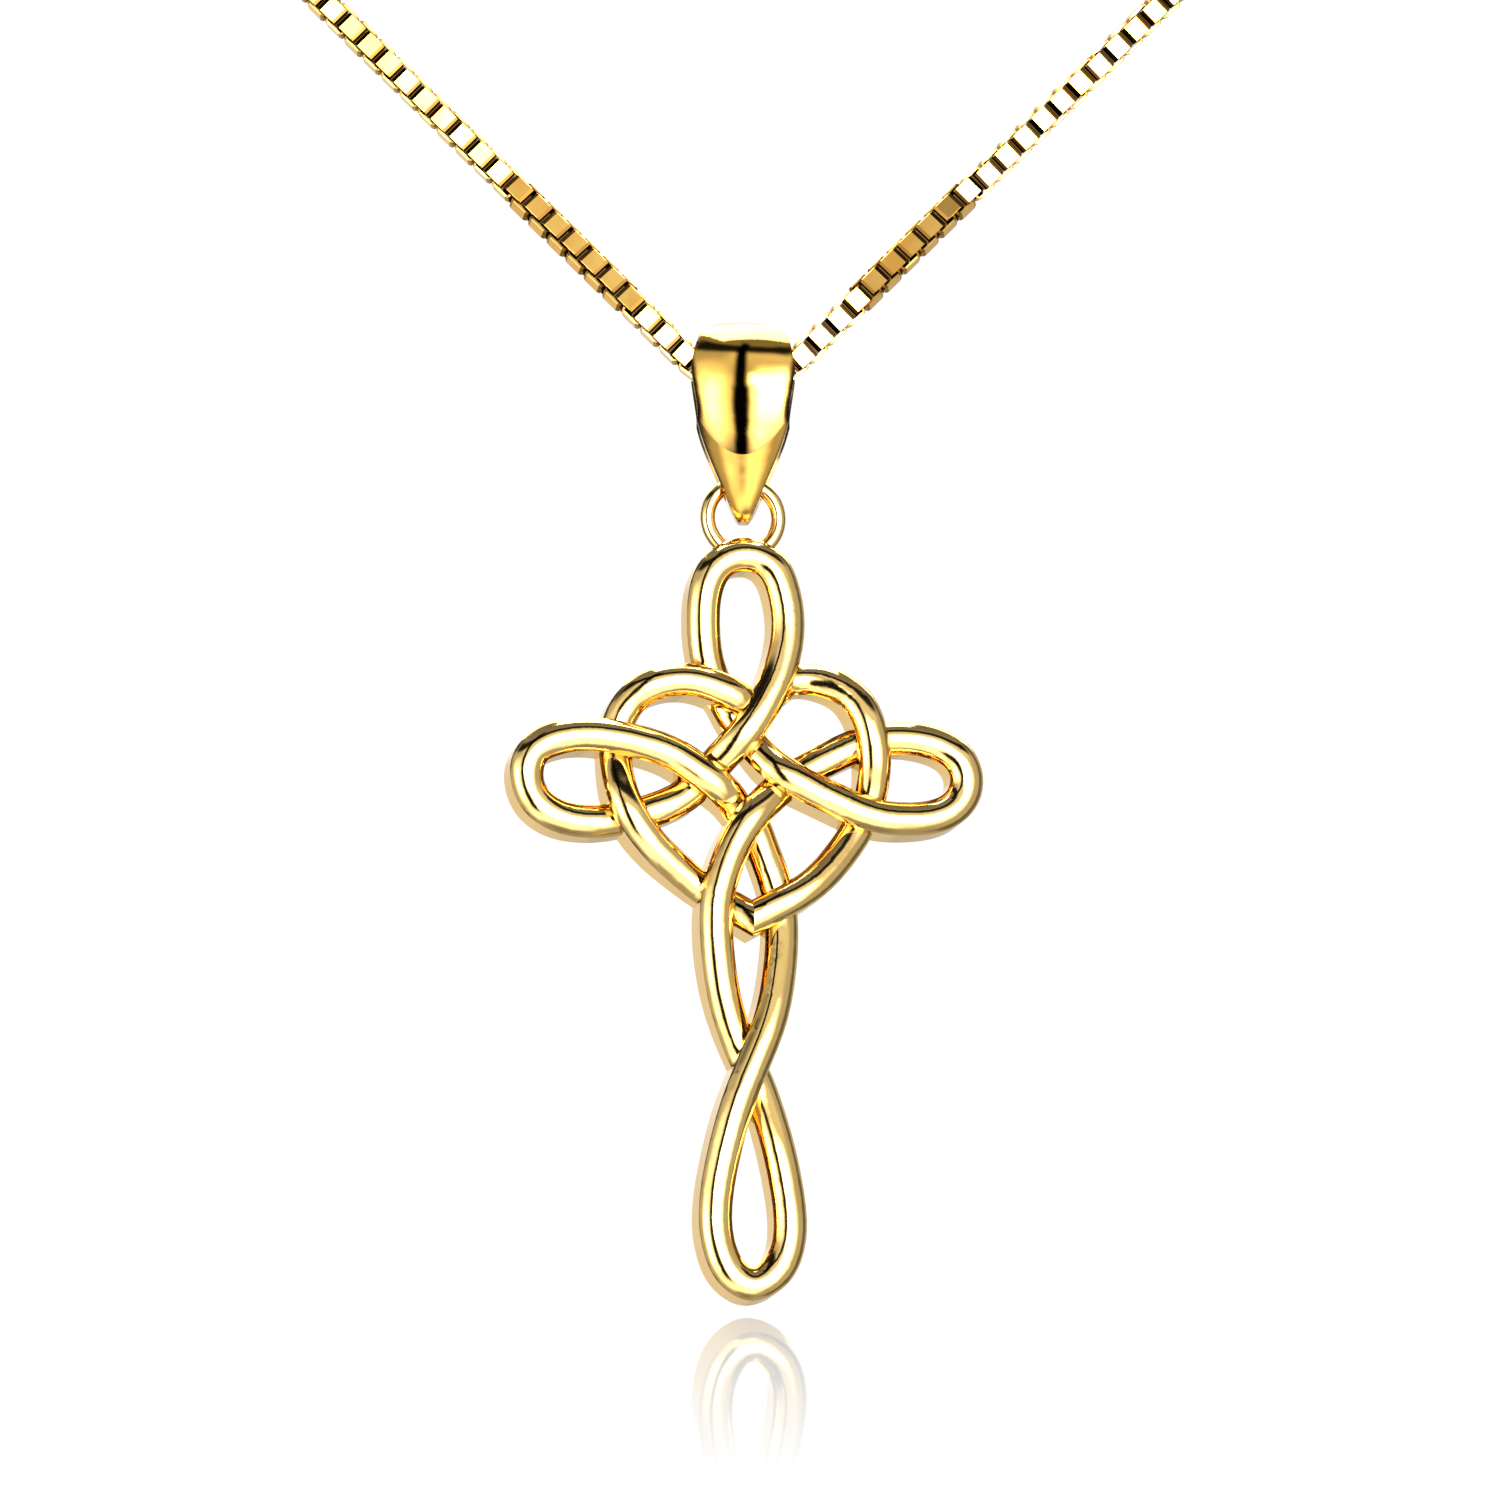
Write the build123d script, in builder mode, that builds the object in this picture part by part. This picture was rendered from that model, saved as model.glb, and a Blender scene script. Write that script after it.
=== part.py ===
"""Celtic knot cross on a box chain: a cast cross of one interlaced cord and a heart,
a folded leaf bail that slides on the chain, and the whole loop of chain with its clasp.

Millimetres. +Z is up and the pendant's face looks along -Y. The origin is where the
middle of the loop rests on the back of the neck.
"""

import math
import os

from build123d import *

os.makedirs("parts", exist_ok=True)

# The loop of chain, as worn
chain_width = 1.0
loop_length = 457.0
loop_half_width = 0.132 * loop_length
loop_depth = 0.255 * loop_length
loop_drop = 0.2235 * loop_length
bail_bend = 2.46
# Corners of the wearer's left half from the bail up to the nape: shares of the half
# width, of the depth and of the drop, each from the nape except the first
loop_corners = [
    (0.385, 0.995, 0.772), (0.69, 0.9, 0.505), (0.915, 0.69, 0.265),
    (0.995, 0.41, 0.095), (0.84, 0.148, 0.012), (0.48, 0.006, -0.008),
]

# The clasp at the back of the neck
clasp_length = 9.0
clasp_diameter = 3.0
clasp_rounding = 0.9
chain_end_gap = 0.05

# The bail
bail_length = 6.9
bail_width = 3.54
bail_depth = 3.44
chain_to_bail_top = 2.04
hollow_top = 1.3

# Its sections from the top down: depth below the top, width, thickness through the
# middle and thickness along the edges, as shares of its length, width and depth
bail_sections = [
    (0.0, 0.34, 0.24, 0.16), (0.016, 0.58, 0.42, 0.29), (0.046, 0.75, 0.61, 0.44),
    (0.1, 0.87, 0.81, 0.58), (0.175, 0.95, 0.94, 0.67), (0.285, 1.0, 1.0, 0.7),
    (0.4, 0.965, 0.955, 0.67), (0.525, 0.86, 0.83, 0.59), (0.65, 0.7, 0.69, 0.5),
    (0.775, 0.49, 0.57, 0.42), (0.875, 0.33, 0.47, 0.36), (0.95, 0.2, 0.35, 0.28),
    (0.995, 0.09, 0.18, 0.15),
]

# The ring on top of the cross
ring_diameter = 2.94
ring_wire = 0.5
ring_play = 0.12
ring_side_play = 0.22
ring_top_drop = 3.41
ring_above_cross = 0.72

# The cross
cross_height = 26.1
cord_width = 1.14
heart_width = 1.1
dome_rise = 0.38
over_height = 1.9
under_height = 1.25
run_end = 0.1
section_gap = 0.8
cross_turn = 10.5

# The cross hangs turned on the ring and is drawn on squares as it then looks from the
# front and a little below. Each point is squares right of the middle, squares up, and how
# far the strand lies in front there, from 0 where it passes under to 1 where it passes
# over. The cord is one endless line of four runs, each from a place where it passes under
# to the next such place.
seen_from_below = 10.0
top_run = [
    (-25, 614, 0), (-34, 636, 0), (-39, 658, 0.2), (-41, 686, 0.35), (-39, 714, 0.45),
    (-27, 741, 0.5), (-1, 753, 0.5), (26, 743, 0.55), (40, 714, 0.6), (44, 684, 0.65),
    (41, 656, 0.75), (33, 629, 0.9), (22, 606, 1), (8, 584, 1), (-9, 564, 0.75),
    (-25, 547, 0.25),
]
left_run = [
    (-41, 529, 0), (-59, 512, 0.1), (-78, 502, 0.2), (-98, 495, 0.1), (-121, 489, 0),
    (-143, 486, 0.2), (-168, 487, 0.35), (-191, 494, 0.45), (-209, 509, 0.5),
    (-217, 532, 0.5), (-211, 555, 0.55), (-190, 568, 0.6), (-158, 573, 0.8), (-126, 570, 1),
    (-97, 563, 1), (-70, 553, 1), (-51, 541, 1), (-32, 527, 1), (-13, 508, 0.4),
]
foot_run = [
    (2, 487, 0), (15, 467, 0), (25, 441, 0), (33, 416, 0), (37, 388, 0), (37, 356, 0.3),
    (34, 326, 0.6), (26, 288, 0.9), (14, 256, 1), (-6, 206, 1), (-20, 156, 0.8),
    (-28, 110, 0.7), (-28, 78, 0.65), (-21, 51, 0.6), (-8, 32, 0.55), (10, 25, 0.5),
    (29, 35, 0.5), (42, 56, 0.5), (46, 82, 0.5), (43, 116, 0.45), (35, 156, 0.4),
    (26, 188, 0.2), (16, 217, 0),
]
right_run = [
    (7, 237, 0), (-3, 258, 0), (-12, 282, 0.2), (-20, 311, 0.5), (-26, 351, 0.9),
    (-28, 386, 1), (-26, 413, 1), (-18, 442, 1), (-6, 470, 1), (9, 492, 1), (26, 510, 0.6),
    (47, 527, 0), (69, 541, 0), (89, 551, 0), (111, 561, 0), (137, 568, 0.1),
    (163, 569, 0.3), (190, 564, 0.4), (213, 551, 0.5), (223, 527, 0.5), (213, 502, 0.55),
    (188, 490, 0.7), (156, 488, 0.9), (125, 493, 1), (103, 502, 1), (63, 521, 1),
    (38, 536, 1), (15, 556, 0.3), (0, 574, 0), (-13, 593, 0),
]
heart_left_run = [
    (25, 594, 0), (9, 602, 0.4), (-8, 611, 0.9), (-31, 622, 1), (-60, 628, 0.9),
    (-86, 624, 0.7), (-108, 612, 0.4), (-121, 595, 0.1), (-128, 575, 0), (-129, 553, 0.1),
    (-125, 527, 0.6), (-117, 503, 1), (-105, 482, 1), (-91, 463, 0.8), (-75, 447, 0.5),
    (-59, 432, 0.2), (-43, 420, 0), (-26, 408, 0), (-9, 399, 0.4), (8, 389, 0.8),
    (26, 379, 0.8), (46, 368, 0.8),
]
heart_right_run = [
    (-32, 367, 0.8), (-12, 378, 0.8), (8, 389, 0.8), (31, 401, 1), (60, 417, 1),
    (87, 441, 0.6), (106, 466, 0.2), (120, 491, 0), (127, 513, 0.2), (131, 541, 0.8),
    (129, 568, 1), (121, 594, 0.9), (104, 615, 0.6), (82, 625, 0.3), (61, 628, 0),
    (42, 625, 0), (24, 617, 0),
]
heart_tip = 8

# Levels and places that follow from the dimensions
chain_radius = chain_width / 2
front_y = -loop_depth
apex_z = -loop_drop
chain_z = apex_z + bail_bend * (math.sqrt(2) - 1)
ring_pivot_z = chain_z - ring_top_drop
ring_centre_z = ring_pivot_z - (ring_diameter - ring_wire) / 2
cross_top_z = ring_centre_z - ring_above_cross
foot_z = cross_top_z - cross_height
bail_top_z = chain_z + chain_to_bail_top
back_y = front_y + over_height / 2

cord_runs = [top_run, left_run, foot_run, right_run]
squares_up = [above for run in cord_runs for right, above, level in run]
turn = math.radians(cross_turn)
from_below = math.radians(seen_from_below)
square = (cross_height - cord_width) * math.cos(from_below) / (max(squares_up) - min(squares_up))


def knot_point(right, above, level):
    """A point in the middle of a strand on its front, over the flat back."""
    crest = under_height + level * (over_height - under_height)
    out = crest - (under_height + over_height) / 2
    x = (right * square - out * math.sin(turn)) / math.cos(turn)
    slant = x * math.sin(turn) - out * math.cos(turn)
    up = (above - min(squares_up)) * square + slant * math.sin(from_below)
    return Vector(x, back_y - crest, foot_z + cord_width / 2 + up / math.cos(from_below))


def strand_sections(line, start, end, width):
    """Even sections of a strand on its line: flat back, straight sides, arched front."""
    sections = []
    count = round((end - start) * line.length / section_gap)
    for step in range(count + 1):
        place = start + (end - start) * step / count
        place = place - 1 if place > 1 else place
        point = line.position_at(place)
        side = Vector(0, 1, 0).cross(line.tangent_at(place)).normalized()
        crest = back_y - point.Y
        plane = Plane(
            origin=(point.X, back_y, point.Z),
            x_dir=side,
            z_dir=Vector(0, 1, 0).cross(side),
        )
        with BuildSketch(plane) as section:
            with BuildLine():
                Line((-width / 2, 0), (width / 2, 0))
                Line((width / 2, 0), (width / 2, crest - dome_rise))
                ThreePointArc(
                    (width / 2, crest - dome_rise), (0, crest), (-width / 2, crest - dome_rise)
                )
                Line((-width / 2, crest - dome_rise), (-width / 2, 0))
            make_face()
        sections.append(section.sketch.face())
    return sections


cord_points = [[knot_point(*p) for p in run] for run in cord_runs]
cord_line = Edge.make_spline(sum(cord_points, []), periodic=True)

# Heart: two halves that meet in a mitre at the tip
heart_mitre = knot_point(heart_tip, min(squares_up), 0.8).X
heart_left_line = Edge.make_spline([knot_point(*p) for p in heart_left_run])
with BuildPart() as heart_left:
    loft(strand_sections(heart_left_line, 0, 1, heart_width))
    split(bisect_by=Plane.YZ.offset(heart_mitre), keep=Keep.BOTTOM)

heart_right_line = Edge.make_spline([knot_point(*p) for p in heart_right_run])
with BuildPart() as heart_right:
    loft(strand_sections(heart_right_line, 0, 1, heart_width))
    split(bisect_by=Plane.YZ.offset(heart_mitre), keep=Keep.TOP)

# The ring on top of the cross
with BuildPart() as ring:
    with Locations((0, front_y, ring_centre_z)):
        Torus((ring_diameter - ring_wire) / 2, ring_wire / 2, rotation=(90, 0, 0))

# The cross: the heart, the ring and the cord, whose runs end inside the strands over them
run_starts = [cord_line.param_at_point(points[0]) % 1 for points in cord_points]
hidden_end = run_end / cord_line.length
with BuildPart() as knot_cross:
    for start, end in zip(run_starts, run_starts[1:] + [run_starts[0] + 1]):
        loft(strand_sections(cord_line, start + hidden_end, end - hidden_end, cord_width))
    add(heart_left.part)
    add(heart_right.part)
    add(ring.part)
with BuildPart() as hung_cross:
    add(knot_cross.part.rotate(Axis((0, front_y, 0), (0, 0, 1)), cross_turn))
hung_cross.part.label = "knot_cross"
export_step(hung_cross.part, "parts/knot_cross.step")

# The bail: a leaf folded over the chain, its tip closed through the ring
bail_faces = []
for down, width_share, middle_share, edge_share in bail_sections:
    half_width = bail_width * width_share / 2
    middle = bail_depth * middle_share / 2
    edge = bail_depth * edge_share / 2
    level = bail_top_z - down * bail_length
    with BuildSketch(Plane(origin=(0, front_y, level))) as bail_section:
        with BuildLine():
            Line((half_width, -edge), (half_width, edge))
            ThreePointArc((half_width, edge), (0, middle), (-half_width, edge))
            Line((-half_width, edge), (-half_width, -edge))
            ThreePointArc((-half_width, -edge), (0, -middle), (half_width, -edge))
        make_face()
    bail_faces.append(bail_section.sketch.face())

hollow_half = 0.355 * bail_depth
slot_half = ring_wire / 2 + ring_side_play
slot_top_z = ring_pivot_z + 0.12 * ring_top_drop
web_radius = ring_diameter / 2 - ring_wire - ring_play
hollow_half_outline = [
    (slot_half, slot_top_z),
    (0.8 * hollow_half, chain_z - 0.45 * ring_top_drop),
    (hollow_half, chain_z + 0.1 * hollow_top),
    (0.72 * hollow_half, chain_z + 0.8 * hollow_top),
]
hollow_outline = [(front_y + out, up) for out, up in hollow_half_outline]
hollow_outline.append((front_y, chain_z + hollow_top))
hollow_outline += [(front_y - out, up) for out, up in hollow_half_outline[::-1]]
with BuildPart() as bail_hollow:
    with BuildSketch(Plane.YZ):
        with BuildLine():
            Spline(*hollow_outline, tangents=((0, 1), (0, -1)))
            Polyline(
                hollow_outline[-1],
                (front_y - slot_half, ring_centre_z),
                (front_y + slot_half, ring_centre_z),
                hollow_outline[0],
            )
        make_face()
    extrude(amount=bail_width, both=True)
    with Locations((0, front_y, ring_centre_z)):
        Cylinder(web_radius, 2 * bail_depth, rotation=(90, 0, 0), mode=Mode.SUBTRACT)

with BuildPart() as bail:
    loft(bail_faces)
    add(bail_hollow.part, mode=Mode.SUBTRACT)
bail.part.label = "bail"
export_step(bail.part, "parts/bail.step")

# The chain: from one end of the clasp round the front to its other end
nape_y = clasp_diameter / 2
chain_start = clasp_length / 2 + chain_end_gap
left_half = [
    (share_x * loop_half_width, nape_y - share_y * (loop_depth + nape_y), -share_z * loop_drop)
    for share_x, share_y, share_z in loop_corners
]
left_half.append((chain_start, nape_y, 0))
right_half = [(-x, y, z) for x, y, z in left_half]
chain_route = right_half[::-1] + [(0, front_y, apex_z)] + left_half
runs = [Vector(*b) - Vector(*a) for a, b in zip(chain_route, chain_route[1:])]
bends = []
for before, after in zip(runs, runs[1:]):
    half_turn = math.radians(before.get_angle(after) / 2)
    bends.append(0.45 * min(before.length, after.length) / math.tan(half_turn))
bends[len(bends) // 2] = bail_bend
print("runs", [round(run.length, 1) for run in runs[:7]])
print("bends", [round(bend, 1) for bend in bends[:6]])
with BuildPart() as chain:
    with BuildLine() as chain_path:
        FilletPolyline(*chain_route, radius=bends)
    with BuildSketch(Plane(origin=chain_path.line @ 0, z_dir=chain_path.line % 0)):
        Circle(chain_radius)
    sweep()
chain.part.label = "chain"
export_step(chain.part, "parts/chain.step")
chain_length = chain_path.wire().length
print("chain", chain_length, "whole loop", chain_length + 2 * chain_start)
print("volume", chain.part.volume, "straight", chain_length * math.pi * chain_radius**2)

# The clasp: one plain barrel
with BuildPart() as clasp:
    with Locations((0, nape_y, 0)):
        Cylinder(clasp_diameter / 2, clasp_length, rotation=(0, 90, 0))
    fillet(clasp.edges().filter_by(GeomType.CIRCLE), clasp_rounding)
clasp.part.label = "clasp"
export_step(clasp.part, "parts/clasp.step")

for piece in (hung_cross, bail, chain, clasp):
    box = piece.part.bounding_box()
    print(piece.part.label, round(piece.part.volume, 2), piece.part.is_valid, box.min, box.max)
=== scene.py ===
import math
import random

import bpy
from mathutils import Matrix, Vector


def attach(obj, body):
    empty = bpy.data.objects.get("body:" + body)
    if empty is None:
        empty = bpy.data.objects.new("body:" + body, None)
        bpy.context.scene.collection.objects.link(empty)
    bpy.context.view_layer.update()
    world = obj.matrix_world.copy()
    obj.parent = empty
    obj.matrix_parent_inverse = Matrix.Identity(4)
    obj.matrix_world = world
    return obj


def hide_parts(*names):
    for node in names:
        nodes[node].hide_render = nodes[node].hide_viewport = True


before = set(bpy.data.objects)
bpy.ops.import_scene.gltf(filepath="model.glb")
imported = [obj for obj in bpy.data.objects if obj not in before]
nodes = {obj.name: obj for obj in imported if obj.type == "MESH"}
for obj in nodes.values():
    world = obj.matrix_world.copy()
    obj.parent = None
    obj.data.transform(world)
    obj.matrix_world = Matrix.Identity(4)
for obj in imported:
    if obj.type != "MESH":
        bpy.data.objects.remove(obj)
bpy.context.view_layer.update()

MM = 0.001

# Corners of the chain's loop in mm, from the clasp round the wearer's right side, down to
# the bail and back up the left side. The two next to the lowest one keep the strands
# straight where they leave the bail.
HALF_LOOP = [
    (4.55, 1.5, 0.0),
    (28.956, 0.792, 0.817),
    (50.672, -15.968, -1.226),
    (60.022, -46.894, -9.703),
    (55.196, -79.945, -27.067),
    (41.623, -104.731, -51.58),
    (23.225, -115.945, -78.852),
    (4.2, -116.535, -97.94),
]
LOWEST = (0.0, -116.535, -102.14)
ROUTE = [(-x, y, z) for x, y, z in HALF_LOOP] + [LOWEST] + HALF_LOOP[::-1]

# Box links in mm: strips bent into a box with round corners, each turned a quarter against
# the next
LINK_LONG = 0.84
LINK_WIDE = 0.93
LINK_ROUND = 0.14
STRIP_WIDE = 0.66
STRIP_THICK = 0.09
STRIP_EASE = 0.02
LINK_PITCH = 0.446
# Spread of the links' roll in degrees
LINK_PLAY = 1.5
# How much painted shade a link's bends get
BEND_DARK = 0.85
# Degrees round a corner of a link
CORNER_STEPS = (0, 45, 90)

# The direction that the links' flat sides face, before it is squared to the chain: it turns
# outward with the distance to the side, and forward or back with that from the neck's
# middle. In front it leans so that both strands mirror the bright boxes.
FACE_SPREAD = 0.06
FACE_RIGHT = 0.020
FACE_UP = -0.024
FACE_DEPTH = 3
NECK_MIDDLE_Y = -0.056
# A few links above the bail lie rolled up a little: their height over the chain in the bail,
# half of the stretch and its soft end in mm, and how much more their flat sides lean up
ROLLED_AT = 4.8
ROLLED_HALF = 2.2
ROLLED_SOFT = 0.6
ROLLED_UP_LEFT = 0.058
ROLLED_UP_RIGHT = 0.072

CHAIN_IN_BAIL = Vector((0.0, -116.535, -101.12)) * MM

# The camera looks at the front of the bail from ten degrees below. The picture is square and
# shows the pendant at 29.5 pixels to the millimetre. The chain inside the bail lies a little
# left of its middle and well above it.
VIEW_ELEVATION = math.radians(-10)
PICTURE = 1500
PIXELS_PER_MM = 29.5
LENS = 500
SENSOR = 36
CHAIN_LEFT = 7
CHAIN_UP = 366

camera_data = bpy.data.cameras.new("camera")
camera_data.lens = LENS
camera_data.sensor_width = SENSOR
camera_data.clip_start = 0.005
camera_data.clip_end = 10
camera = bpy.data.objects.new("camera", camera_data)
bpy.context.scene.collection.objects.link(camera)
looking = Vector((0.0, math.cos(VIEW_ELEVATION), -math.sin(VIEW_ELEVATION)))
rightward = Vector((1.0, 0.0, 0.0))
upward = rightward.cross(looking)
PIXEL = MM / PIXELS_PER_MM
distance = PICTURE * PIXEL * LENS / SENSOR
middle = CHAIN_IN_BAIL + (CHAIN_LEFT * rightward - CHAIN_UP * upward) * PIXEL
camera.matrix_world = Matrix.Translation(middle - looking * distance) @ Matrix(
    (
        (rightward.x, upward.x, -looking.x),
        (rightward.y, upward.y, -looking.y),
        (rightward.z, upward.z, -looking.z),
    )
).to_4x4()
bpy.context.scene.camera = camera


def linear(code):
    """A web colour such as #E8C878 as linear red, green and blue, and full alpha."""
    channels = [int(code[i : i + 2], 16) / 255 for i in (1, 3, 5)]
    return [
        c / 12.92 if c <= 0.04045 else ((c + 0.055) / 1.055) ** 2.4 for c in channels
    ] + [1.0]


def node(tree, kind, links=(), **settings):
    """Adds a node. A setting names an attribute or, failing that, an input."""
    made = tree.nodes.new(kind)
    for name, value in settings.items():
        if hasattr(made, name):
            setattr(made, name, value)
        else:
            made.inputs[name.replace("_", " ")].default_value = value
    for name, socket in dict(links).items():
        tree.links.new(socket, made.inputs[name])
    return made


def scaled(tree, value, factor):
    """The value times a fixed number."""
    made = node(tree, "ShaderNodeMath", {0: value}, operation="MULTIPLY")
    made.inputs[1].default_value = factor
    return made.outputs[0]


# The plate's mirror at a grazing angle, the share of lacquer outside the painted shade, how
# soft the edge of the painted shade in a recess is, and the grain's spread in gloss and its
# strength as a bump
GRAZING = "#FCE8BA"
LACQUER = 0.6
RECESS_SOFT = 0.4
GLOSS_LOW = 0.75
GLOSS_HIGH = 1.3
GRAIN_STRENGTH = 0.25


def polished_gold(
    name,
    colour,
    flush,
    recess_shade,
    roughness,
    cloud_mm,
    hairline_mm,
    depth_mm,
    recess_mm,
    open_share,
    leaf=False,
):
    """Polished and lacquered gold plate over silver.

    A cloud of slightly warmer plating makes the colour live, a fine buffing grain varies
    the gloss, and its shallow bump softens long reflections. Recesses, where ambient
    occlusion finds them, and a link's bends get painted shade in another colour and no lacquer.
    Elsewhere the clear lacquer turns bright reflections white.
    """
    material = bpy.data.materials.new(name)
    material.use_nodes = True
    tree = material.node_tree
    tree.nodes.clear()
    place = node(tree, "ShaderNodeTexCoord").outputs["Object"]
    cloud = node(
        tree, "ShaderNodeTexNoise", {"Vector": place}, Scale=1 / (cloud_mm * MM), Detail=2.0
    )
    grain = node(
        tree, "ShaderNodeTexNoise", {"Vector": place}, Scale=1 / (hairline_mm * MM), Detail=3.0
    )
    tone = node(tree, "ShaderNodeValToRGB", {"Fac": cloud.outputs["Fac"]})
    tone.color_ramp.elements[0].position = 0.35
    tone.color_ramp.elements[0].color = linear(flush)
    tone.color_ramp.elements[1].position = 0.65
    tone.color_ramp.elements[1].color = linear(colour)
    # Painted shade: where ambient occlusion finds a recess, the colour turns to the darker
    # recess colour and the lacquer goes
    openness = node(tree, "ShaderNodeAmbientOcclusion", Distance=recess_mm * MM).outputs["AO"]
    unshaded = node(
        tree,
        "ShaderNodeMapRange",
        {"Value": openness},
        From_Min=open_share - RECESS_SOFT,
        From_Max=open_share,
    ).outputs["Result"]
    # Painted shade on a link's bends, from the mesh's bend value
    bend_shade = node(tree, "ShaderNodeAttribute", attribute_name="bend_shade").outputs["Fac"]
    flat_share = node(tree, "ShaderNodeMath", {1: bend_shade}, operation="SUBTRACT")
    flat_share.inputs[0].default_value = 1.0
    unshaded = node(
        tree, "ShaderNodeMath", {0: unshaded, 1: flat_share.outputs[0]}, operation="MINIMUM"
    ).outputs[0]
    mix = node(
        tree,
        "ShaderNodeMix",
        {"Factor": unshaded, "B": tone.outputs["Color"]},
        data_type="RGBA",
    )
    mix.inputs["A"].default_value = linear(recess_shade)
    base = mix.outputs["Result"]
    gloss = node(
        tree,
        "ShaderNodeMapRange",
        {"Value": grain.outputs["Fac"]},
        From_Min=0.3,
        From_Max=0.7,
        To_Min=GLOSS_LOW * roughness,
        To_Max=GLOSS_HIGH * roughness,
    )
    bump = node(
        tree,
        "ShaderNodeBump",
        {"Height": grain.outputs["Fac"]},
        Strength=GRAIN_STRENGTH,
        Distance=depth_mm * MM,
    )
    if leaf:
        base, moulded = leaf_form(tree, place, base)
        tree.links.new(moulded, bump.inputs["Normal"])
    metal = node(
        tree,
        "ShaderNodeBsdfPrincipled",
        {
            "Base Color": base,
            "Roughness": gloss.outputs["Result"],
            "Normal": bump.outputs["Normal"],
            "Coat Weight": scaled(tree, unshaded, LACQUER),
            "Coat Normal": bump.outputs["Normal"],
        },
        Metallic=1.0,
        Specular_Tint=linear(GRAZING),
        Coat_Roughness=roughness,
    )
    out = node(tree, "ShaderNodeOutputMaterial", {"Surface": metal.outputs["BSDF"]})
    out.is_active_output = True
    return material


# The arc of the bail's painted dark reflection in mm below the chain, its bow in mm per mm2,
# the width in mm of that painted band above the arc with the light that is left in it, and the
# slopes of the tip and of the whole leaf
ARC_DOWN = 2.41
ARC_BOW = 0.535
CREASE_SHADE = 0.75
CREASE_LIGHT = 0.2
TIP_SLOPE = 0.2
LEAF_TURN = 0.14
# The round of the bail's edges in mm, and the light that their painted dark reflection leaves
# where the surface turns away from the flat face by the angles of these cosines
EDGE_ROUND = 0.2
EDGE_LIGHT = 0.06
EDGE_DARKEST = 0.93
EDGE_CLEAR = 0.995


def leaf_form(tree, place, base):
    """The bail's moulding: a full upper shield whose colour is painted darker toward an arc
    across the leaf as a dark reflection, a slimmer tip below it, edges painted dark where they
    round off, and the leaf turned a little."""
    from_chain = node(tree, "ShaderNodeVectorMath", {0: place}, operation="SUBTRACT")
    from_chain.inputs[1].default_value = CHAIN_IN_BAIL
    height = node(
        tree, "ShaderNodeVectorMath", {0: from_chain.outputs["Vector"]}, operation="DOT_PRODUCT"
    )
    height.inputs[1].default_value = upward
    sideways = node(
        tree, "ShaderNodeSeparateXYZ", {"Vector": from_chain.outputs["Vector"]}
    ).outputs["X"]
    squared = node(tree, "ShaderNodeMath", {0: sideways, 1: sideways}, operation="MULTIPLY")
    bowed = scaled(tree, squared.outputs[0], -ARC_BOW / MM)
    level = node(
        tree, "ShaderNodeMath", {0: height.outputs["Value"], 1: bowed}, operation="ADD"
    )
    over_arc = node(tree, "ShaderNodeMath", {0: level.outputs[0]}, operation="ADD")
    over_arc.inputs[1].default_value = ARC_DOWN * MM
    over_arc = over_arc.outputs[0]
    # Painted dark reflection: above the arc the colour darkens toward it
    light = node(
        tree,
        "ShaderNodeMapRange",
        {"Value": over_arc},
        From_Max=CREASE_SHADE * MM,
        To_Min=CREASE_LIGHT,
        To_Max=1.0,
    )
    under = node(tree, "ShaderNodeMath", {0: over_arc}, operation="LESS_THAN")
    under.inputs[1].default_value = 0.0
    share = node(
        tree,
        "ShaderNodeMath",
        {0: light.outputs["Result"], 1: under.outputs[0]},
        operation="MAXIMUM",
    )
    shaded = node(
        tree, "ShaderNodeVectorMath", {0: base, "Scale": share.outputs[0]}, operation="SCALE"
    )
    below_arc = node(tree, "ShaderNodeMath", {0: over_arc}, operation="MINIMUM")
    below_arc.inputs[1].default_value = 0.0
    slim = scaled(tree, below_arc.outputs[0], TIP_SLOPE)
    turned = scaled(tree, sideways, LEAF_TURN)
    # Painted dark reflection along the rounded edges: the colour darkens where the bevelled
    # normal turns from the flat face
    edges = node(tree, "ShaderNodeBevel", Radius=EDGE_ROUND * MM)
    flat = node(tree, "ShaderNodeNewGeometry")
    agree = node(
        tree,
        "ShaderNodeVectorMath",
        {0: edges.outputs["Normal"], 1: flat.outputs["Normal"]},
        operation="DOT_PRODUCT",
    )
    inside = node(
        tree,
        "ShaderNodeMapRange",
        {"Value": agree.outputs["Value"]},
        From_Min=EDGE_DARKEST,
        From_Max=EDGE_CLEAR,
        To_Min=EDGE_LIGHT,
        To_Max=1.0,
    )
    shaded = node(
        tree,
        "ShaderNodeVectorMath",
        {0: shaded.outputs["Vector"], "Scale": inside.outputs["Result"]},
        operation="SCALE",
    )
    relief = node(tree, "ShaderNodeMath", {0: slim, 1: turned}, operation="ADD")
    moulded = node(
        tree,
        "ShaderNodeBump",
        {"Height": relief.outputs[0], "Normal": edges.outputs["Normal"]},
        Strength=1.0,
        Distance=1.0,
    )
    return shaded.outputs["Vector"], moulded.outputs["Normal"]


# Cast and tumbled before it is plated: the palest gold, the softest mirror
cross_gold = polished_gold(
    "cross_gold",
    colour="#F0CE84",
    flush="#ECC676",
    # The darker colour of the painted shade in recesses
    recess_shade="#BE9E58",
    roughness=0.09,
    cloud_mm=1.6,
    hairline_mm=0.05,
    depth_mm=0.0005,
    recess_mm=0.1,
    open_share=0.7,
)
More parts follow.
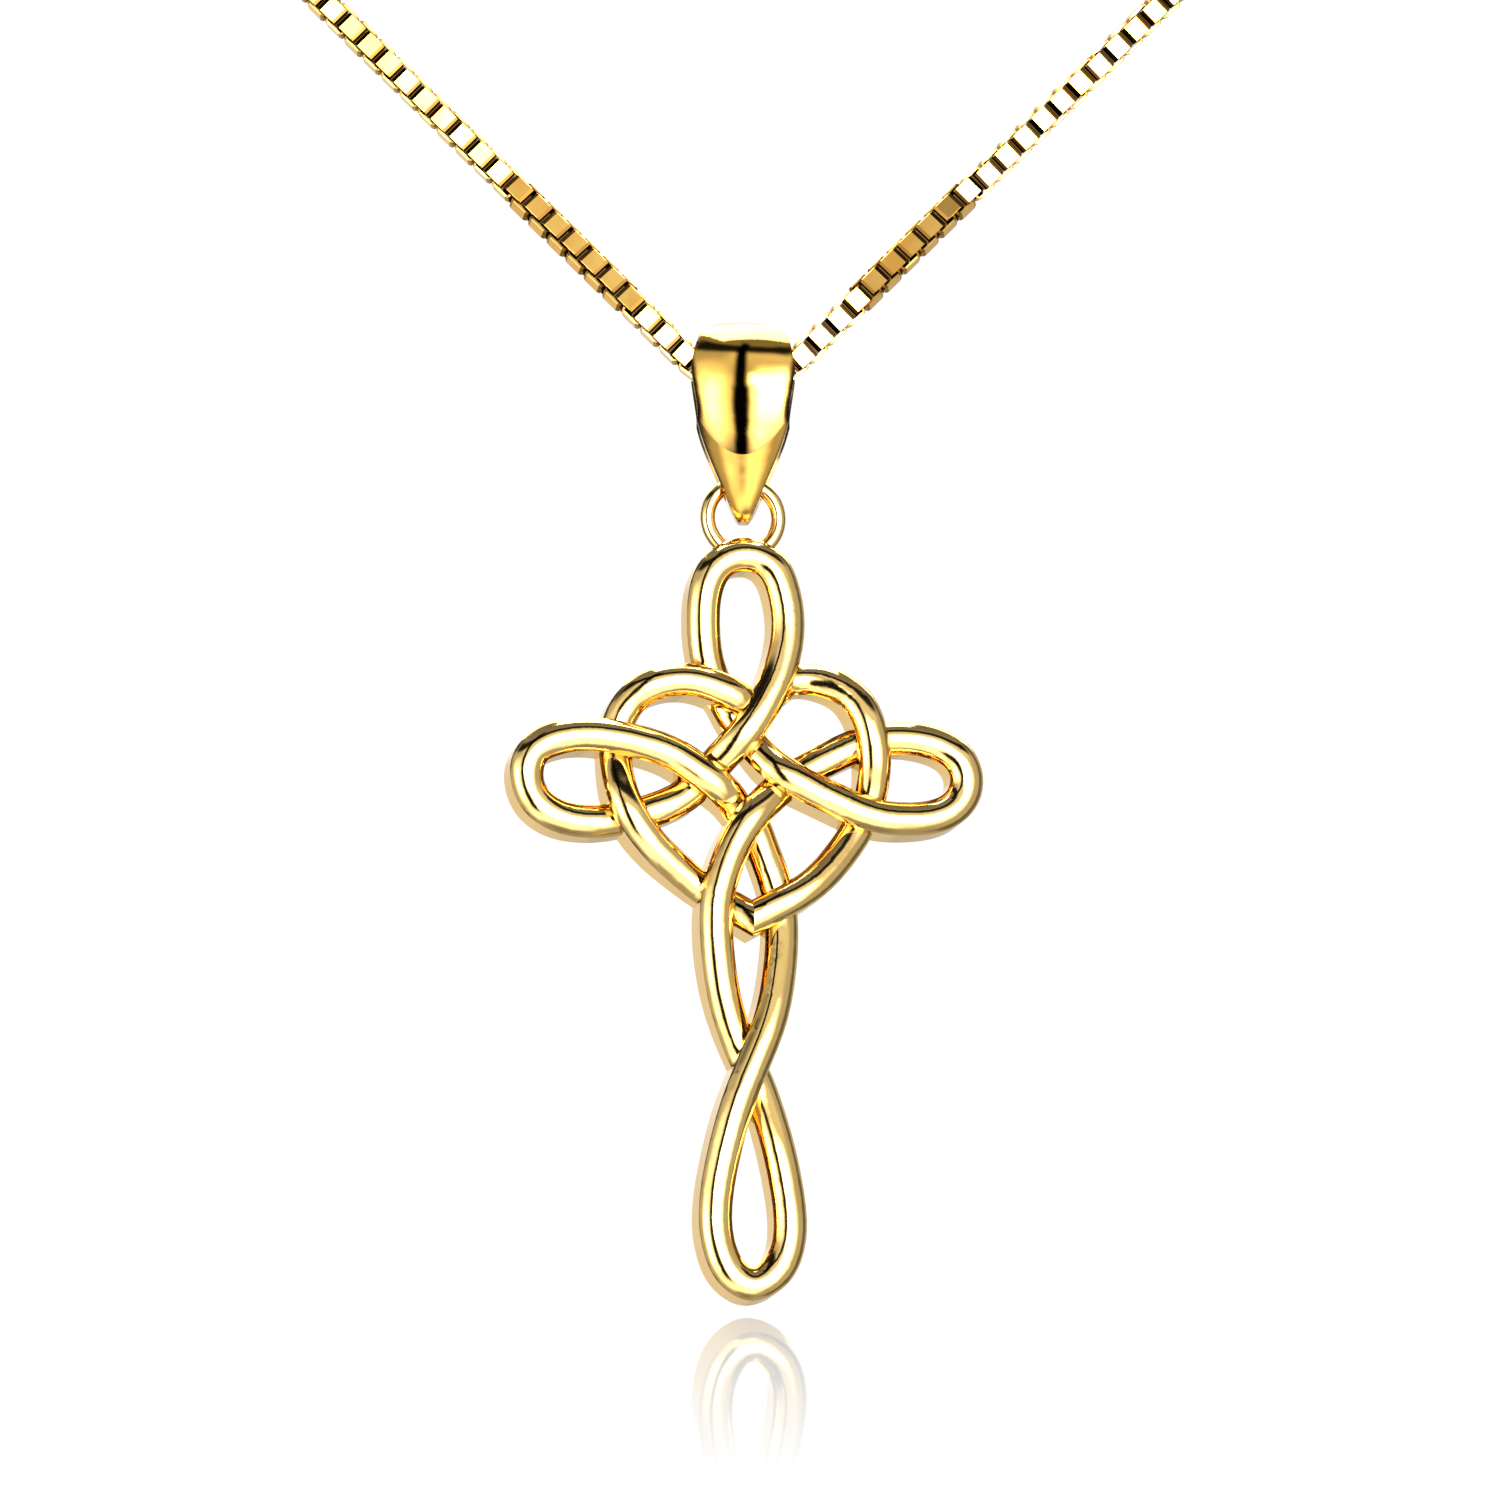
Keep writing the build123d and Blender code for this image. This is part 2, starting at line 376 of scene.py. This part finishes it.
# Pressed from sheet and buffed by hand: the sharpest mirror
bail_gold = polished_gold(
    "bail_gold",
    colour="#F0C05A",
    flush="#EAB64E",
    # The darker colour of the painted shade in recesses
    recess_shade="#8E6826",
    roughness=0.05,
    cloud_mm=2.0,
    hairline_mm=0.06,
    depth_mm=0.0004,
    recess_mm=0.1,
    open_share=0.8,
    leaf=True,
)
# Bent from strip by a machine: bright flats, and painted brown shade in the gaps and bends
chain_gold = polished_gold(
    "chain_gold",
    colour="#F3C668",
    flush="#EAB04C",
    # The darker colour of the painted shade in recesses
    recess_shade="#4A2404",
    roughness=0.07,
    cloud_mm=1.2,
    hairline_mm=0.04,
    depth_mm=0.0003,
    recess_mm=0.5,
    open_share=0.94,
)


def coat(object_, material):
    """Gives an object this one material."""
    object_.data.materials.clear()
    object_.data.materials.append(material)


for piece, material in (
    ("knot_cross", cross_gold),
    ("bail", bail_gold),
    ("clasp", chain_gold),
):
    coat(nodes[piece], material)


def route_points(route):
    """Points of one smooth line through the loop, read from its spline."""
    curve = bpy.data.curves.new("chain_route", "CURVE")
    curve.dimensions = "3D"
    curve.resolution_u = 64
    spline = curve.splines.new("NURBS")
    spline.points.add(len(route) - 1)
    for point, place in zip(spline.points, route):
        point.co = (*[MM * value for value in place], 1)
    spline.order_u = 3
    spline.use_endpoint_u = True
    guide = bpy.data.objects.new("chain_route", curve)
    mesh = bpy.data.meshes.new_from_object(guide)
    points = [vertex.co.copy() for vertex in mesh.vertices]
    bpy.data.meshes.remove(mesh)
    bpy.data.objects.remove(guide)
    bpy.data.curves.remove(curve)
    return points


def evenly(points, pitch):
    """Places and directions along the line, one pitch apart."""
    ends = [0.0]
    for a, b in zip(points, points[1:]):
        ends.append(ends[-1] + (b - a).length)
    count = int(ends[-1] / pitch)
    first = (ends[-1] - (count - 1) * pitch) / 2
    places = []
    k = 0
    for i in range(count):
        along = first + i * pitch
        while ends[k + 1] < along:
            k += 1
        share = (along - ends[k]) / (ends[k + 1] - ends[k])
        places.append(
            (points[k].lerp(points[k + 1], share), (points[k + 1] - points[k]).normalized())
        )
    return places


def link_mesh():
    """One box link, long side along X, open along Z, the strip's edges eased.

    Gives its corners, its faces and how much painted shade each face gets.
    """
    half = STRIP_WIDE / 2
    verts = []
    for inset, height in (
        (0.0, half - STRIP_EASE),
        (0.0, STRIP_EASE - half),
        (STRIP_EASE, -half),
        (STRIP_THICK, -half),
        (STRIP_THICK, half),
        (STRIP_EASE, half),
    ):
        for side, wall, start in ((1, 1, 0), (-1, 1, 90), (-1, -1, 180), (1, -1, 270)):
            for step in CORNER_STEPS:
                angle = math.radians(start + step)
                x = side * (LINK_LONG / 2 - LINK_ROUND) + (LINK_ROUND - inset) * math.cos(angle)
                y = wall * (LINK_WIDE / 2 - LINK_ROUND) + (LINK_ROUND - inset) * math.sin(angle)
                verts.append((x * MM, y * MM, height * MM))
    faces, bend_shades = [], []
    steps = len(CORNER_STEPS)
    size = 4 * steps
    for start in range(0, len(verts), size):
        after = (start + size) % len(verts)
        for c in range(size):
            d = (c + 1) % size
            faces.append((start + c, start + d, after + d, after + c))
            # The faces of the bends get painted shade
            bend_shades.append(BEND_DARK if c % steps < steps - 1 else 0.0)
    return verts, faces, bend_shades


def chain_links():
    """Links along the route, their flat sides out from the neck with a little play.

    Each face's bend value says how much painted shade it gets.
    """
    chance = random.Random(7)
    verts, faces, bend_shades = link_mesh()
    all_verts, all_faces, all_bend_shades = [], [], []
    for i, (place, along) in enumerate(evenly(route_points(ROUTE), LINK_PITCH * MM)):
        height = (place - CHAIN_IN_BAIL).z / MM
        rolled = max(0.0, min(1.0, (ROLLED_HALF - abs(height - ROLLED_AT)) / ROLLED_SOFT))
        rolled *= ROLLED_UP_LEFT if place.x < 0 else ROLLED_UP_RIGHT
        out = Vector(
            (
                place.x * abs(place.x) / FACE_SPREAD + FACE_RIGHT,
                FACE_DEPTH * (place.y - NECK_MIDDLE_Y),
                rolled + FACE_UP,
            )
        )
        across = (out - out.dot(along) * along).normalized()
        other = along.cross(across)
        play = math.radians(chance.gauss(0.0, LINK_PLAY))
        across, other = (
            math.cos(play) * across + math.sin(play) * other,
            math.cos(play) * other - math.sin(play) * across,
        )
        wide, opens = (across, other) if i % 2 else (other, across)
        base = len(all_verts)
        for x, y, z in verts:
            all_verts.append(place + x * along + y * wide + z * opens)
        flip = along.cross(wide).dot(opens) > 0
        for face in faces:
            face = [base + index for index in face]
            all_faces.append(face[::-1] if flip else face)
        all_bend_shades += bend_shades
    mesh = bpy.data.meshes.new("chain_links")
    mesh.from_pydata(all_verts, [], all_faces)
    # Stores the painted shade of the bends for the material
    mesh.attributes.new("bend_shade", "FLOAT", "FACE").data.foreach_set("value", all_bend_shades)
    mesh.update()
    made = bpy.data.objects.new("chain_links", mesh)
    bpy.context.scene.collection.objects.link(made)
    return made


links = chain_links()
coat(links, chain_gold)
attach(links, "chain")
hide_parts("chain")


# The floor plate slopes down toward the camera and mirrors the white backdrop behind
FLOOR_TILT = math.radians(6)
floor_normal = math.cos(FLOOR_TILT) * upward - math.sin(FLOOR_TILT) * looking
floor_forward = -math.cos(FLOOR_TILT) * looking - math.sin(FLOOR_TILT) * upward
backdrop_middle = looking + 2 * math.sin(FLOOR_TILT) * floor_normal

# Studio: what the gold mirrors. Places are degrees round from the camera, + to the right, and
# degrees up from level.
# The room's walls: degrees up, strength
ROOM = [(-90, 0.3), (-60, 0.5), (-30, 0.6), (30, 0.6), (46, 0.4), (62, 0.25), (90, 0.15)]
ROOM_COLOUR = "#FFFDF8"
WHITE = "#FFFFFF"
# The white of the backdrop and the floor, a little over the brightest that shows
BACKDROP = 1.05
# Cosines from the sheet's middle to where its edge starts and ends
SHEET_OUTER = 0.95
SHEET_INNER = 0.97
# Soft boxes: middle, half width and soft edge round; middle, half height and soft edge up;
# strength
BOXES = {
    "right_box": (24, 30, 26, -12, 24, 26, 3.0),
    "right_tube": (21, 20, 16, -2, 18, 18, 7.0),
    "front_card": (-2, 6, 6, 7, 7, 8, 7.0),
    "left_box": (-54, 20, 26, -8, 25, 28, 2.2),
    "left_tube": (-54, 8, 20, -6, 12, 20, 5.0),
    "left_wall": (-150, 26, 30, 4, 26, 24, 0.3),
    "low_front": (-14, 60, 40, -52, 12, 16, 1.6),
    "high_front": (14, 50, 24, 32, 9, 12, 0.4),
}
# The same for black cards, with the share of the light that each takes away
FLAGS = {
    "lens": (-19, 7, 4, 12, 46, 6, 1.0),
    "lens_foot": (-19, 10, 6, -16, 14, 14, 1.0),
    "ceiling": (-5, 90, 30, 44, 8, 6, 0.97),
    "left_edge": (-112, 14, 14, 0, 50, 20, 0.85),
    "right_edge": (112, 14, 20, 0, 60, 30, 0.75),
}


def window(tree, value, centre, half, soft):
    """One inside the window, falling smoothly to nothing over its soft edge."""
    off = node(tree, "ShaderNodeMath", {0: value}, operation="SUBTRACT")
    off.inputs[1].default_value = math.radians(centre)
    away = node(tree, "ShaderNodeMath", {0: off.outputs[0]}, operation="ABSOLUTE")
    return node(
        tree,
        "ShaderNodeMapRange",
        {"Value": away.outputs[0]},
        interpolation_type="SMOOTHSTEP",
        From_Min=math.radians(half - soft / 2),
        From_Max=math.radians(half + soft / 2),
        To_Min=1.0,
        To_Max=0.0,
    ).outputs["Result"]


def card(tree, round_, up, place, strength):
    """A rectangle of the studio's wall with soft edges."""
    wide = window(tree, round_, *place[:3])
    high = window(tree, up, *place[3:6])
    both = node(tree, "ShaderNodeMath", {0: wide, 1: high}, operation="MULTIPLY")
    return scaled(tree, both.outputs[0], strength)


def studio():
    """The world: walls with soft boxes and black cards, and a white sheet behind."""
    world = bpy.data.worlds.new("studio")
    bpy.context.scene.world = world
    world.use_nodes = True
    tree = world.node_tree
    tree.nodes.clear()
    direction = node(tree, "ShaderNodeTexCoord").outputs["Generated"]
    parts = node(tree, "ShaderNodeSeparateXYZ", {"Vector": direction})
    front = scaled(tree, parts.outputs["Y"], -1.0)
    round_ = node(
        tree, "ShaderNodeMath", {0: parts.outputs["X"], 1: front}, operation="ARCTAN2"
    ).outputs[0]
    up = node(tree, "ShaderNodeMath", {0: parts.outputs["Z"]}, operation="ARCSINE").outputs[0]
    share = node(
        tree, "ShaderNodeMapRange", {"Value": up}, From_Min=-math.pi / 2, From_Max=math.pi / 2
    )
    walls = node(tree, "ShaderNodeValToRGB", {"Fac": share.outputs["Result"]})
    walls.color_ramp.interpolation = "EASE"
    elements = walls.color_ramp.elements
    while len(elements) < len(ROOM):
        elements.new(1.0)
    for element, (height, _) in zip(elements, ROOM):
        element.position = (height + 90) / 180
    for element, (_, bright) in zip(elements, ROOM):
        element.color = (bright, bright, bright, 1.0)
    light = walls.outputs["Color"]
    for place in BOXES.values():
        box = card(tree, round_, up, place, place[6])
        light = node(tree, "ShaderNodeMath", {0: light, 1: box}, operation="ADD").outputs[0]
    for place in FLAGS.values():
        dark = card(tree, round_, up, place, -place[6])
        left = node(tree, "ShaderNodeMath", {0: dark}, operation="ADD")
        left.inputs[1].default_value = 1.0
        light = node(
            tree, "ShaderNodeMath", {0: light, 1: left.outputs[0]}, operation="MULTIPLY"
        ).outputs[0]
    room = node(tree, "ShaderNodeBackground", {"Strength": light}, Color=linear(ROOM_COLOUR))
    backdrop = node(tree, "ShaderNodeBackground", Color=linear(WHITE), Strength=BACKDROP)
    seen = node(tree, "ShaderNodeLightPath").outputs["Is Camera Ray"]
    behind = node(tree, "ShaderNodeVectorMath", {0: direction}, operation="DOT_PRODUCT")
    behind.inputs[1].default_value = backdrop_middle
    sheet = node(
        tree,
        "ShaderNodeMapRange",
        {"Value": behind.outputs["Value"]},
        From_Min=SHEET_OUTER,
        From_Max=SHEET_INNER,
    )
    white = node(
        tree, "ShaderNodeMath", {0: seen, 1: sheet.outputs["Result"]}, operation="MAXIMUM"
    )
    either = node(
        tree,
        "ShaderNodeMixShader",
        {0: white.outputs[0], 1: room.outputs[0], 2: backdrop.outputs[0]},
    )
    node(tree, "ShaderNodeOutputWorld", {"Surface": either.outputs[0]})


studio()


def soft_box(name, place, aim, wide, high, strength):
    """A rectangular soft box that the gold mirrors at the given strength."""
    lamp = bpy.data.lights.new(name, "AREA")
    lamp.shape = "RECTANGLE"
    lamp.size = wide
    lamp.size_y = high
    lamp.energy = strength * math.pi * wide * high
    made = bpy.data.objects.new(name, lamp)
    made.location = place
    made.rotation_euler = (aim - place).to_track_quat("-Z", "Y").to_euler()
    made.visible_camera = False
    bpy.context.scene.collection.objects.link(made)


# High behind the pendant, for the upper rims
pendant = CHAIN_IN_BAIL - 15 * MM * upward
soft_box(
    "rim_light", pendant + Vector((0.0, 0.25, 0.34)), pendant, wide=0.6, high=0.25, strength=2.5
)
# Close above the fold of the bail
bail_top = CHAIN_IN_BAIL + 2 * MM * upward
soft_box(
    "top_light",
    bail_top + Vector((0.0, 3 * MM, 14 * MM)),
    bail_top,
    wide=0.020,
    high=0.018,
    strength=6.0,
)

# A pale glossy floor plate under the foot. It slopes down toward the camera and is seen from
# above only. Its mirror image fades with the distance and toward the plate's sides.
# The picture's row that the plate starts from
FLOOR_ROW = 1294.5
# In metres: half of the plate's width, how far it reaches behind and in front of that row,
# where the mirror image starts to fade to the side and where it is gone, the soft start and
# the length of the mirror image
PLATE_SIDE = 0.05
PLATE_BACK = 0.005
PLATE_FRONT = 0.055
FADE_SIDE_FROM = 6 * MM
FADE_SIDE_TO = 16 * MM
FADE_START = 4 * MM
FADE_LENGTH = 47 * MM
# How much the plate mirrors at most, and how rough it is
SHINE = 0.6
SHINE_ROUGH = 0.04
plate_mesh = bpy.data.meshes.new("floor_plate")
plate_mesh.from_pydata(
    [
        (-PLATE_SIDE, -PLATE_BACK, 0),
        (PLATE_SIDE, -PLATE_BACK, 0),
        (PLATE_SIDE, PLATE_FRONT, 0),
        (-PLATE_SIDE, PLATE_FRONT, 0),
    ],
    [],
    [(0, 1, 2, 3)],
)
plate = bpy.data.objects.new("floor_plate", plate_mesh)
plate.matrix_world = Matrix.Translation(
    middle + (PICTURE / 2 - FLOOR_ROW) * PIXEL * upward
) @ Matrix(
    (
        (rightward.x, floor_forward.x, floor_normal.x),
        (rightward.y, floor_forward.y, floor_normal.y),
        (rightward.z, floor_forward.z, floor_normal.z),
    )
).to_4x4()
bpy.context.scene.collection.objects.link(plate)
# Glossy white acrylic: a clear mirror image that the white under it soon drowns
floor_gloss = bpy.data.materials.new("floor_gloss")
floor_gloss.use_nodes = True
tree = floor_gloss.node_tree
tree.nodes.clear()
place = node(tree, "ShaderNodeTexCoord").outputs["Object"]
spot = node(tree, "ShaderNodeSeparateXYZ", {"Vector": place})
out_front = spot.outputs["Y"]
aside = node(tree, "ShaderNodeMath", {0: spot.outputs["X"]}, operation="ABSOLUTE").outputs[0]
under_foot = node(
    tree,
    "ShaderNodeMapRange",
    {"Value": aside},
    From_Min=FADE_SIDE_FROM,
    From_Max=FADE_SIDE_TO,
    To_Min=1.0,
    To_Max=0.0,
)
from_edge = node(tree, "ShaderNodeMapRange", {"Value": out_front}, From_Max=FADE_START)
soft_sides = node(
    tree,
    "ShaderNodeMath",
    {0: under_foot.outputs["Result"], 1: from_edge.outputs["Result"]},
    operation="MULTIPLY",
)
along_image = node(
    tree,
    "ShaderNodeMapRange",
    {"Value": out_front},
    From_Max=FADE_LENGTH,
    To_Min=SHINE,
    To_Max=0.0,
)
shine_share = node(
    tree,
    "ShaderNodeMath",
    {0: along_image.outputs["Result"], 1: soft_sides.outputs[0]},
    operation="MULTIPLY",
)
pale = node(tree, "ShaderNodeEmission", Color=linear(WHITE), Strength=BACKDROP)
shine = node(tree, "ShaderNodeBsdfGlossy", Color=linear(WHITE), Roughness=SHINE_ROUGH)
both = node(
    tree,
    "ShaderNodeMixShader",
    {0: shine_share.outputs[0], 1: pale.outputs[0], 2: shine.outputs[0]},
)
clear = node(tree, "ShaderNodeBsdfTransparent")
below = node(tree, "ShaderNodeNewGeometry").outputs["Backfacing"]
either = node(tree, "ShaderNodeMixShader", {0: below, 1: both.outputs[0], 2: clear.outputs[0]})
node(tree, "ShaderNodeOutputMaterial", {"Surface": either.outputs[0]})
coat(plate, floor_gloss)
plate.visible_shadow = False
plate.visible_diffuse = False
plate.visible_glossy = False

bpy.context.scene.view_settings.view_transform = "Standard"
